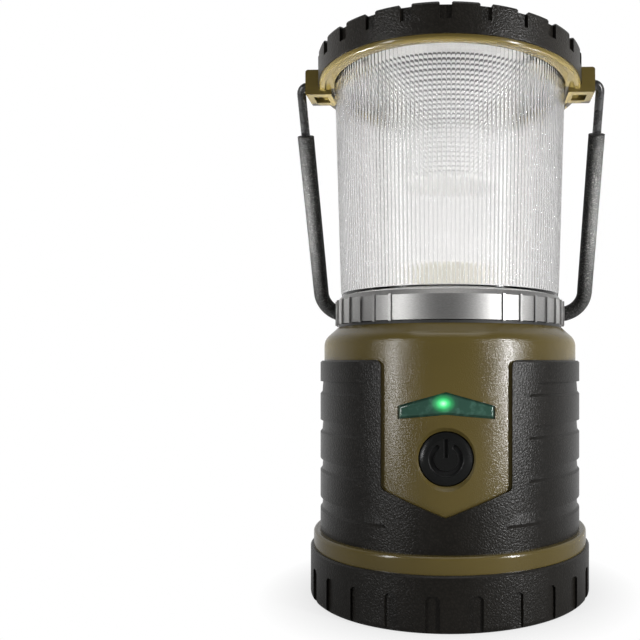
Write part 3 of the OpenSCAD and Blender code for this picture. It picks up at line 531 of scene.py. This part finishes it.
def green_window():
    b = FinishBench("tinted_green_window")
    glow = nearness_to_lamp(b, GLOW_REACH)
    cloud = b.grain(350, 2.0)
    # painted light: the two ends of the pane are coloured paler
    end = b.span(b.alone(b.axis("X"), "ABSOLUTE"), 17.2 * MM, 18.5 * MM)
    spread = b.combine(b.stretch(cloud, -0.15, 0.15), b.combine(end, 0.75, "MULTIPLY"))
    b.set(Base_Color=b.tones(spread, *PANE_TINT_AND_EDGE_LIGHT),
          Roughness=b.stretch(cloud, 0.05, 0.1),
          Specular_IOR_Level=0.6,
          Emission_Color=b.tones(glow, *GLOW_TONES),
          Emission_Strength=1.0)
    return b.material


def indicator_led():
    b = FinishBench("indicator_lamp")
    b.set(Base_Color=b.two_tones(b.grain(900, 2.0), (0.6, 0.75, 0.6), (0.75, 0.85, 0.72)),
          Roughness=0.3,
          Emission_Color=b.tones(nearness_to_lamp(b, SPOT_REACH), (0.0, (0.0, 0.01, 0.003)),
                                 (0.5, (0.2, 1.0, 0.4))),
          Emission_Strength=2.0)
    return b.material


finishes["green_window"] = green_window()
finishes["indicator_led"] = indicator_led()
print("one lamp lit at", [round(part / MM, 1) for part in LAMP_AT], "mm")

# %% [markdown]
# ## Circuit boards
# The boards are inside and show only when the port cover is open or the globe is off. They still
# get what a real board has: solder mask, with the copper tracks faintly lighter under it. A brick
# pattern with thin joints is near enough to a field of tracks.

# %% Circuit boards
def board(name, mask, track):
    b = FinishBench(name)
    tracks = b.add("TexBrick", Vector=b.place, Scale=260.0, Mortar_Size=0.06,
                   Color1=(*mask, 1.0), Color2=(*shade(mask, 1.15), 1.0), Mortar=(*track, 1.0))
    b.set(Base_Color=tracks.outputs["Color"],
          Roughness=b.stretch(b.grain(700, 2.0), 0.28, 0.4))
    return b.material


finishes["board_green"] = board("green_solder_mask", (0.012, 0.09, 0.035), (0.03, 0.16, 0.06))
finishes["board_white"] = board("white_solder_mask", (0.76, 0.76, 0.74), (0.66, 0.65, 0.6))
print(len(finishes), "finishes in all")

# %% [markdown]
# ## Dressing the solid parts
# Each part's mesh has slots for materials. A part here is one moulding or one piece of metal, so
# it has one slot, and that slot gets the finish that the record names for the part.

# %% Give every part its finish
for name, part in frame["nodes"].items():
    part.data.materials.clear()
    part.data.materials.append(finishes[slot_of[name]])
print("dressed", len(frame["nodes"]), "parts")

# %% [markdown]
# ## A helper that makes a piece
# A mesh that is built point by point still has to become a part of the lantern. Its faces are
# turned outwards and shaded smooth, with sharp edges kept where two faces meet at more than a given
# angle. Then it gets its finish, and it is tied to the body that it moves with.

# %% Piece helper
def make_piece(name, work, body, finish, sharp):
    bmesh.ops.recalc_face_normals(work, faces=work.faces)
    mesh = bpy.data.meshes.new(name)
    work.to_mesh(mesh)
    work.free()
    mesh.shade_smooth()
    mesh.set_sharp_from_angle(angle=math.radians(sharp))
    piece = bpy.data.objects.new(name, mesh)
    bpy.context.scene.collection.objects.link(piece)
    mesh.materials.append(finishes[finish])
    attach(piece, body)
    print(name, "has", len(mesh.polygons), "faces")
    return piece


def solid_box(node):
    low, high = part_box(node)
    return np.array(low) / MM, np.array(high) / MM


def smooth_step(value, low, high):
    part = np.clip((value - low) / (high - low), 0.0, 1.0)
    return part * part * (3.0 - 2.0 * part)


print("piece helper ready")

# %% [markdown]
# ## A helper that skins a row of loops
# Many small mouldings are one closed skin drawn over a row of outlines with the same number of
# points, the way a loft is drawn in a drawing program. The helper joins each loop to the next with
# a strip of faces, and either closes both ends or joins the last loop back to the first.

# %% Skin helper
def strip(work, row, after):
    count = len(row)
    for k in range(count):
        work.faces.new((row[k], row[(k + 1) % count], after[(k + 1) % count], after[k]))


def skin(name, loops, body, finish, sharp, closed=False):
    loops = np.asarray(loops, dtype=float) * MM
    work = bmesh.new()
    points = [[work.verts.new(point) for point in loop] for loop in loops]
    for row, after in zip(points, points[1:] + ([points[0]] if closed else [])):
        strip(work, row, after)
    if not closed:
        work.faces.new(points[0][::-1])
        work.faces.new(points[-1])
    return make_piece(name, work, body, finish, sharp)


print("skin helper ready")

# %% [markdown]
# ## Power button
# The real button is one rubber plug with the stand-by sign moulded into its face, nearly a
# millimetre deep. The solid model has the plug without the sign. Text or a decal would lie on the
# surface, so here the face is a fine polar net of rings, and each point is pushed in by its
# distance to the sign: an arc that is open at the top, and a bar that stands in the gap.

# %% Depth of the sign
SIGN_RADIUS, SIGN_STROKE, SIGN_OPEN, SIGN_DEEP = 5.55, 1.9, 38.0, 0.9
BAR_WIDTH, BAR_LOW, BAR_HIGH = 1.7, 0.4, 7.7
WALL_IN, WALL_OUT = -0.2, 0.12


def sign_depth(x, z):
    turn = np.degrees(np.arctan2(np.abs(x), z))
    end_x = SIGN_RADIUS * math.sin(math.radians(SIGN_OPEN))
    end_z = SIGN_RADIUS * math.cos(math.radians(SIGN_OPEN))
    to_middle = np.where(turn > SIGN_OPEN, np.abs(np.hypot(x, z) - SIGN_RADIUS),
                         np.hypot(np.abs(x) - end_x, z - end_z))
    to_arc = to_middle - SIGN_STROKE / 2
    to_bar = np.maximum(np.abs(x) - BAR_WIDTH / 2, np.maximum(BAR_LOW - z, z - BAR_HIGH))
    return SIGN_DEEP * (1.0 - smooth_step(np.minimum(to_arc, to_bar), WALL_IN, WALL_OUT))


print("the sign is", SIGN_DEEP, "mm deep")

# %% [markdown]
# ### Turning the button
# The plug is turned like a lathe piece. Its profile runs from the post at the back over the flange,
# which stops it in its hole, along the side and over the bevel to the middle of the face. Only the
# rings in front of the side are pressed in by the sign.

# %% Power button with its sign
POST_RADIUS, FLANGE_STEP, SOFT_EDGE = 3.0, 1.6, 0.1
FLANGE_BACK, FLANGE_FRONT, SIDE_FRONT = 47.7, 48.9, 53.0
BEVEL_DEEP, BEVEL_DROP, BEVEL_FROM, BEVEL_PAST, BEVEL_ROUND = 1.15, 0.98, 7.0, 0.9, 1.2
FACE_SINK, STEP_RADIUS, STEP_HEIGHT = 0.12, 6.9, 0.1
BUTTON_POINTS, FACE_RINGS = 288, 84


def power_button():
    low, high = solid_box("power_button")
    front, back = -low[1], -high[1]
    flange = (high[0] - low[0]) / 2
    middle_z = (low[2] + high[2]) / 2
    radius = flange - FLANGE_STEP
    outline = [(0.4, back), (POST_RADIUS - SOFT_EDGE, back), (POST_RADIUS, back + SOFT_EDGE),
               (POST_RADIUS, FLANGE_BACK), (flange - SOFT_EDGE, FLANGE_BACK),
               (flange, FLANGE_BACK + SOFT_EDGE), (flange, FLANGE_FRONT - SOFT_EDGE),
               (flange - SOFT_EDGE, FLANGE_FRONT), (radius, FLANGE_FRONT), (radius, SIDE_FRONT),
               (radius, front - BEVEL_DEEP)]
    for r in np.linspace(radius, 0.1, FACE_RINGS)[1:]:
        bevel = BEVEL_DROP * smooth_step(r, BEVEL_FROM, radius + BEVEL_PAST) ** BEVEL_ROUND
        outline.append((r, front - FACE_SINK - bevel + STEP_HEIGHT * (r > STEP_RADIUS)))
    turn = np.linspace(0.0, 2.0 * np.pi, BUTTON_POINTS + 1)[:-1]
    loops = []
    for r, y in outline:
        x, z = r * np.cos(turn), r * np.sin(turn)
        pressed = sign_depth(x, z) if y > SIDE_FRONT + 0.2 else 0.0
        loops.append(np.stack([x, -(y - pressed) + 0 * x, z + middle_z], axis=1))
    piece = skin("power_button_with_sign", loops, "power_button", "button_rubber", sharp=50)
    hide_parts("power_button")


power_button()

# %% [markdown]
# ## Window pane
# The chevron is a thick pane of green acrylic that fills its hole. Its rim is cut at a slant, and
# that slant is what catches the light. Its face is a net of upright strips between the two edges
# of the chevron, closer together near those edges, where the slant is. Each point lies on a
# cylinder a little inside the housing's skin, and sinks by its nearness to an edge.

# %% Outline of the window
WINDOW_HALF, WINDOW_LOW, WINDOW_ARCH, WINDOW_END, WINDOW_PEAK = 18.6, 79.3, 1.8, 5.0, 10.3
PANE_RADIUS, PANE_SLANT, PANE_SINK = 55.6, 1.1, 0.75
LIP_RADIUS_OUT, LIP_RADIUS_IN, LIP_WIDE = 53.4, 52.0, 1.1
half = np.linspace(0, 1, 94)
rise = np.concatenate([np.linspace(0, 0.12, 8), np.linspace(0.12, 0.88, 26)[1:-1],
                       np.linspace(0.88, 1, 8)])
across_net, rise_net = np.meshgrid(np.concatenate([-half[::-1], half[1:]]), rise, indexing="ij")


def pane_sheet(radius, grow=0.0, slanted=False):
    x = across_net * (WINDOW_HALF + grow)
    middle = 1 - np.abs(across_net)
    low = WINDOW_LOW + WINDOW_ARCH * middle - grow
    high = WINDOW_LOW + WINDOW_END + (WINDOW_PEAK - WINDOW_END) * middle + grow
    z = low + (high - low) * rise_net
    if slanted:
        edge = np.minimum(np.minimum(z - low, high - z), WINDOW_HALF - np.abs(x))
        radius = radius - PANE_SINK * (1 - smooth_step(edge, 0.0, PANE_SLANT))
    return np.stack([x, -np.sqrt(radius ** 2 - x ** 2), z], axis=-1)


def rim(net):
    return np.concatenate([net[:, 0], net[-1, 1:], net[-2::-1, -1], net[0, -2:0:-1]])


print("the pane is a net of", across_net.shape[0], "by", across_net.shape[1], "points")

# %% [markdown]
# ### Closing the pane
# Behind its hole the real pane is wider by a lip, which is what holds it in the housing. So the
# piece has a face and an inner sheet, and three strips of faces join their rims: the wall that goes
# back through the hole, the step out to the lip, and the edge of the lip.

# %% Window pane
def window_pane():
    face = pane_sheet(PANE_RADIUS, slanted=True)
    inner = pane_sheet(LIP_RADIUS_IN, LIP_WIDE)
    wall, lip = rim(face).copy(), rim(pane_sheet(LIP_RADIUS_OUT, LIP_WIDE))
    wall[:, 1] = -np.sqrt(LIP_RADIUS_OUT ** 2 - wall[:, 0] ** 2)
    work = bmesh.new()
    nets = [[[work.verts.new(p * MM) for p in row] for row in net] for net in (face, inner)]
    for net in nets:
        for row, after in zip(net, net[1:]):
            for k in range(len(row) - 1):
                work.faces.new((row[k], row[k + 1], after[k + 1], after[k]))
    rims = [rim(np.array(nets[0], dtype=object)), [work.verts.new(p * MM) for p in wall],
            [work.verts.new(p * MM) for p in lip], rim(np.array(nets[1], dtype=object))]
    for row, after in zip(rims, rims[1:]):
        strip(work, row, after)
    pane = make_piece("indicator_window_pane", work, "housing", "green_window", sharp=40)
    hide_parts("indicator_window")


window_pane()

# %% [markdown]
# ## Fluted lens
# The globe is moulded with 180 upright flutes. Each flute is a little round column, so it acts as
# a weak cylinder lens with a dark groove on both sides, and it leaves the heights alone. The solid
# has the right number of flutes with flat faces. This piece gives each of them a low crown and
# rolled edges in ten strips, lets the flutes run out above the foot, and rounds the foot. A bump
# would darken the grooves, but it would not bend what is seen through them.

# %% Section of the flutes
FLUTES, FLUTE_CROWN, FLUTE_GROOVE = 180, 0.05, 0.25
flute_steps = [-1, -0.88, -0.72, -0.5, -0.25, 0, 0.25, 0.5, 0.72, 0.88]
flute_across = np.tile(flute_steps, FLUTES)
flute_count = np.repeat(np.arange(FLUTES), len(flute_steps)) + (flute_across + 1) / 2
flute_turn = flute_count * 2 * np.pi / FLUTES
flute_proud = (FLUTE_CROWN * (1 - flute_across ** 2)
               + FLUTE_GROOVE * (1 - np.abs(flute_across) ** 5))
print("each loop of the lens has", len(flute_turn), "points")

# %% [markdown]
# ### Drawing the lens up
# The skin starts inside the foot, goes round the foot and up the outside, and comes back down the
# inside to where it began, so the wall has its real thickness. The wall leans out a little as it
# rises, because a moulding has to slide off its core.

# %% Fluted lens
LENS_WALL, LENS_FLARE, LENS_FOOT_R, FLUTE_START_Z = 2.4, 2.8, 47.5, 131.3
FLARE_FROM_Z, FLARE_TO_Z = 131.65, 230.4
ROLL_RADIUS, ROLL_HEIGHT, ROLL_STEPS = 0.85, 1.2, 6
FADE_IN = (0.15, 0.3, 0.5, 0.8, 1.2)


def fluted_lens():
    low, high = solid_box("lens")
    foot_z, top_z = low[2], high[2] - 0.1
    bottom_r = high[0] - LENS_FLARE
    deep = FLUTE_CROWN + FLUTE_GROOVE + 0.02
    loops = []

    def loop(r, z, flute=0.0):
        reach = r + flute * flute_proud
        loops.append(np.stack([reach * np.cos(flute_turn), reach * np.sin(flute_turn),
                               0 * flute_turn + z], axis=1))

    def side_r(z):
        return bottom_r + LENS_FLARE * (z - FLARE_FROM_Z) / (FLARE_TO_Z - FLARE_FROM_Z)

    loop(LENS_FOOT_R - LENS_WALL, foot_z)
    loop(LENS_FOOT_R - 0.15, foot_z)
    loop(LENS_FOOT_R, foot_z + 0.1)
    for k in range(ROLL_STEPS):
        bend = math.radians(90 / (ROLL_STEPS - 1) * k)
        loop(bottom_r - deep - ROLL_RADIUS + ROLL_RADIUS * math.sin(bend),
             foot_z + 0.6 + ROLL_HEIGHT * (1 - math.cos(bend)))
    for rise in FADE_IN:
        z = FLUTE_START_Z - 0.2 + rise
        loop(side_r(z) - deep, z, float(smooth_step(rise, 0.0, FADE_IN[-1])))
    for z in (145.0, 165.0, 185.0, 205.0, top_z):
        loop(side_r(z) - deep, z, 1.0)
    for z in (top_z, 205.0, 165.0, foot_z + 2.2):
        loop(side_r(z) - LENS_WALL, z)
    loop(LENS_FOOT_R - LENS_WALL, foot_z + 1.0)
    lens = skin("fluted_lens", loops, "globe", "clear_lens", sharp=36, closed=True)
    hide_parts("lens")


fluted_lens()

# %% [markdown]
# ## Neck thread
# The globe ring screws onto the housing's neck. The thread is a low round ridge that winds up the
# neck, and it comes into sight when the globe is off. It is a small half-round section carried
# along a helix, thinner at both ends, where a real thread fades into the neck.

# %% Neck thread
THREAD_RADIUS, THREAD_PROUD, THREAD_PITCH, THREAD_TURNS = 46.0, 0.2, 2.3, 2.5
THREAD_START_Z, THREAD_START_TURN = 118.9, -0.7
THREAD_HALF, FLANK_HALF, ROOT, SETTLE = 0.6, 0.42, -0.25, 0.02
STEPS_PER_TURN = 120


def neck_thread():
    loops = []
    for t in np.linspace(0.0, 1.0, int(THREAD_TURNS * STEPS_PER_TURN)):
        angle = 2 * np.pi * THREAD_TURNS * t + THREAD_START_TURN
        fade = float(smooth_step(min(t, 1 - t), 0.0, 0.04))
        flank = THREAD_PROUD * (0.05 + 0.6 * fade) - SETTLE
        section = [(ROOT, -THREAD_HALF), (flank, -FLANK_HALF), (THREAD_PROUD * fade - SETTLE, 0.0),
                   (flank, FLANK_HALF), (ROOT, THREAD_HALF)]
        climb = THREAD_START_Z + THREAD_PITCH * THREAD_TURNS * t
        loops.append([((THREAD_RADIUS + out) * math.cos(angle),
                       (THREAD_RADIUS + out) * math.sin(angle), climb + rise)
                      for out, rise in section])
    skin("neck_thread", loops, "housing", "olive_plastic", sharp=70)


neck_thread()

# %% [markdown]
# ## Floor
# The lantern stands on a pale floor that fades into a white room. Lighting a floor until it is
# white would wash out the lantern too. So its colour stays a middle grey that takes the shadow, and
# what the camera sees of it, directly or through the lens, is a plain white glow, a little weaker
# close to the boot so that the shadow stays; this also paints a faint ring of shade round the boot.
# Gloss sees the white only behind the lantern, where it gives metal its bright edges, and a dark
# floor in front, which keeps the blacks black.

# %% Floor
FLOOR_SIZE, FLOOR_FILL = 3.0, 0.5
FLOOR_GREY, FLOOR_GREY_IN_GLOSS = 0.5, 0.12
SHADOW_FROM, SHADOW_TO, SHADOW_GLOW = 60 * MM, 85 * MM, 0.75
GLOSS_FROM_Y, GLOSS_TO_Y, GLOSS_SHARE = -100 * MM, 200 * MM, 0.9


def floor_finish():
    b = FinishBench("pale_floor")
    ray = b.add("LightPath").outputs
    behind = b.span(b.axis("Y"), GLOSS_FROM_Y, GLOSS_TO_Y, 0.0, GLOSS_SHARE)
    seen = b.combine(ray["Is Camera Ray"], ray["Is Transmission Ray"], "MAXIMUM")
    seen = b.combine(seen, b.combine(ray["Is Glossy Ray"], behind, "MULTIPLY"), "MAXIMUM")
    away = b.vector("LENGTH", b.place)
    # painted shade: a faint darker ring round the boot, beside the real shadow that the grey floor
    # takes
    near = b.span(away, SHADOW_FROM, SHADOW_TO, SHADOW_GLOW, 1.0)
    fill = b.combine(ray["Is Diffuse Ray"], FLOOR_FILL, "MULTIPLY")
    share = b.combine(b.combine(seen, near, "MULTIPLY"), fill, "MAXIMUM")
    b.set(Base_Color=b.span(ray["Is Glossy Ray"], 0.0, 1.0, FLOOR_GREY, FLOOR_GREY_IN_GLOSS),
          Roughness=0.9)
    glow = b.add("Emission", Color=(1.0, 1.0, 1.0, 1.0), Strength=1.0)
    mix = b.add("MixShader")
    for socket, part in zip(mix.inputs, (share, b.shader.outputs[0], glow.outputs[0])):
        b.feed(socket, part)
    b.feed(b.nodes["Material Output"].inputs["Surface"], mix.outputs[0])
    return b.material


def pale_floor():
    side = FLOOR_SIZE
    mesh = bpy.data.meshes.new("floor")
    corners = [(-side, -side, 0), (side, -side, 0), (side, side, 0), (-side, side, 0)]
    mesh.from_pydata(corners, [], [(0, 1, 2, 3)])
    floor = bpy.data.objects.new("floor", mesh)
    bpy.context.scene.collection.objects.link(floor)
    mesh.materials.append(floor_finish())


pale_floor()
print("floor of", 2 * FLOOR_SIZE, "m laid")

# %% [markdown]
# ## The room
# The world stands for the walls of a studio, dim in front and brighter behind, which is what
# glossy black and metal need for their shape to show. Seen directly it is plain white. Through the
# lens it is white too, but a little darker far to the sides: the grooves between the flutes bend
# the view that way, and so each groove draws a fine grey line.

# %% World
FRONT_OF_ROOM, BACK_OF_ROOM, MIRRORED_BACK, THROUGH_SIDES = 0.03, 0.5, 0.65, 0.68
ROOM_FROM_Y, ROOM_TO_Y = -0.35, 0.55
SIDES_FROM, SIDES_TO = 0.2, 0.5


class RoomBench(FinishBench):
    def __init__(self, world):
        world.use_nodes = True
        self.nodes, self.links = world.node_tree.nodes, world.node_tree.links
        self.shader = self.nodes["Background"]
        self.place = self.add("TexCoord").outputs["Generated"]


def studio_world():
    world = bpy.data.worlds.new("studio")
    bpy.context.scene.world = world
    b = RoomBench(world)
    ray = b.add("LightPath").outputs
    room = b.span(b.axis("Y"), ROOM_FROM_Y, ROOM_TO_Y, FRONT_OF_ROOM, BACK_OF_ROOM, "SMOOTHSTEP")
    mirrored = b.span(room, FRONT_OF_ROOM, BACK_OF_ROOM, FRONT_OF_ROOM, MIRRORED_BACK)
    sideways = b.alone(b.axis("X"), "ABSOLUTE")
    through = b.span(sideways, SIDES_FROM, SIDES_TO, 1.0, THROUGH_SIDES)
    strength = b.span(ray["Is Glossy Ray"], 0.0, 1.0, room, mirrored)
    strength = b.span(ray["Is Transmission Ray"], 0.0, 1.0, strength, through)
    strength = b.span(ray["Is Camera Ray"], 0.0, 1.0, strength, 1.0)
    b.set(Color=(1.0, 1.0, 1.0, 1.0), Strength=strength)


studio_world()
print("room from", FRONT_OF_ROOM, "in front to", BACK_OF_ROOM, "behind")

# %% [markdown]
# ## Lamps
# Two tall soft lamps stand at the sides and give the olive shield its two upright highlights. The
# right one is narrower and stronger. A broad lamp overhead fills the shoulder and the top. Two
# small lamps near the floor point up at the collar in narrow beams, and light its underside as the
# light of the globe would.

# %% Lamps
LAMPS = (
    # name, turn from the front, height, away, width, tall, watts, aimed at height, beam
    ("left_softbox", -47, 0.18, 0.75, 0.1, 0.5, 2.9, 0.11, 180),
    ("right_softbox", 52, 0.18, 0.75, 0.054, 0.5, 6.8, 0.11, 180),
    ("overhead", 0, 0.85, 0.2, 0.6, 0.5, 1.5, 0.11, 180),
    ("left_kicker", -89, 0.02, 0.2, 0.06, 0.06, 0.27, 0.222, 20),
    ("right_kicker", 89, 0.02, 0.2, 0.06, 0.06, 0.27, 0.222, 20),
)


def soft_lamp(name, turn, height, away, width, tall, watts, look_at, beam):
    angle = math.radians(turn)
    data = bpy.data.lights.new(name, "AREA")
    data.shape = "RECTANGLE"
    data.size, data.size_y = width, tall
    data.energy = watts
    data.spread = math.radians(beam)
    lamp = bpy.data.objects.new(name, data)
    lamp.location = (away * math.sin(angle), -away * math.cos(angle), height)
    aim = Vector((0, 0, look_at)) - lamp.location
    lamp.rotation_euler = aim.to_track_quat("-Z", "Y").to_euler()
    bpy.context.scene.collection.objects.link(lamp)


for lamp_settings in LAMPS:
    soft_lamp(*lamp_settings)
print(len(LAMPS), "lamps")

# %% [markdown]
# ## Camera
# The camera stands close, level with the top of the housing, so the base is seen a little from
# above and the collar from below. It looks straight ahead: tilting it would make the sides of the
# lantern lean, so the view is framed with a small shift instead. Its focal length is written in
# pixels of a square render 640 wide, and turned into millimetres of the sensor.

# %% Camera
SENSOR, FOCAL_PIXELS, RENDER_PIXELS = 36.0, 727.3, 640
SHIFT_X, SHIFT_Y = -0.203, 0.0706
CAMERA_AT = (8.64 * MM, -329.9 * MM, 99.8 * MM)
CAMERA_TILT, CAMERA_TURN = 90, 1.5

camera_data = bpy.data.cameras.new("camera")
camera_data.sensor_width = SENSOR
camera_data.lens = SENSOR * FOCAL_PIXELS / RENDER_PIXELS
camera_data.shift_x, camera_data.shift_y = SHIFT_X, SHIFT_Y
camera = bpy.data.objects.new("camera", camera_data)
camera.location = CAMERA_AT
camera.rotation_euler = (math.radians(CAMERA_TILT), 0, math.radians(CAMERA_TURN))
bpy.context.scene.collection.objects.link(camera)
bpy.context.scene.camera = camera
bpy.context.scene.view_settings.view_transform = "Standard"
print("camera with a lens of", round(camera_data.lens, 1), "mm")
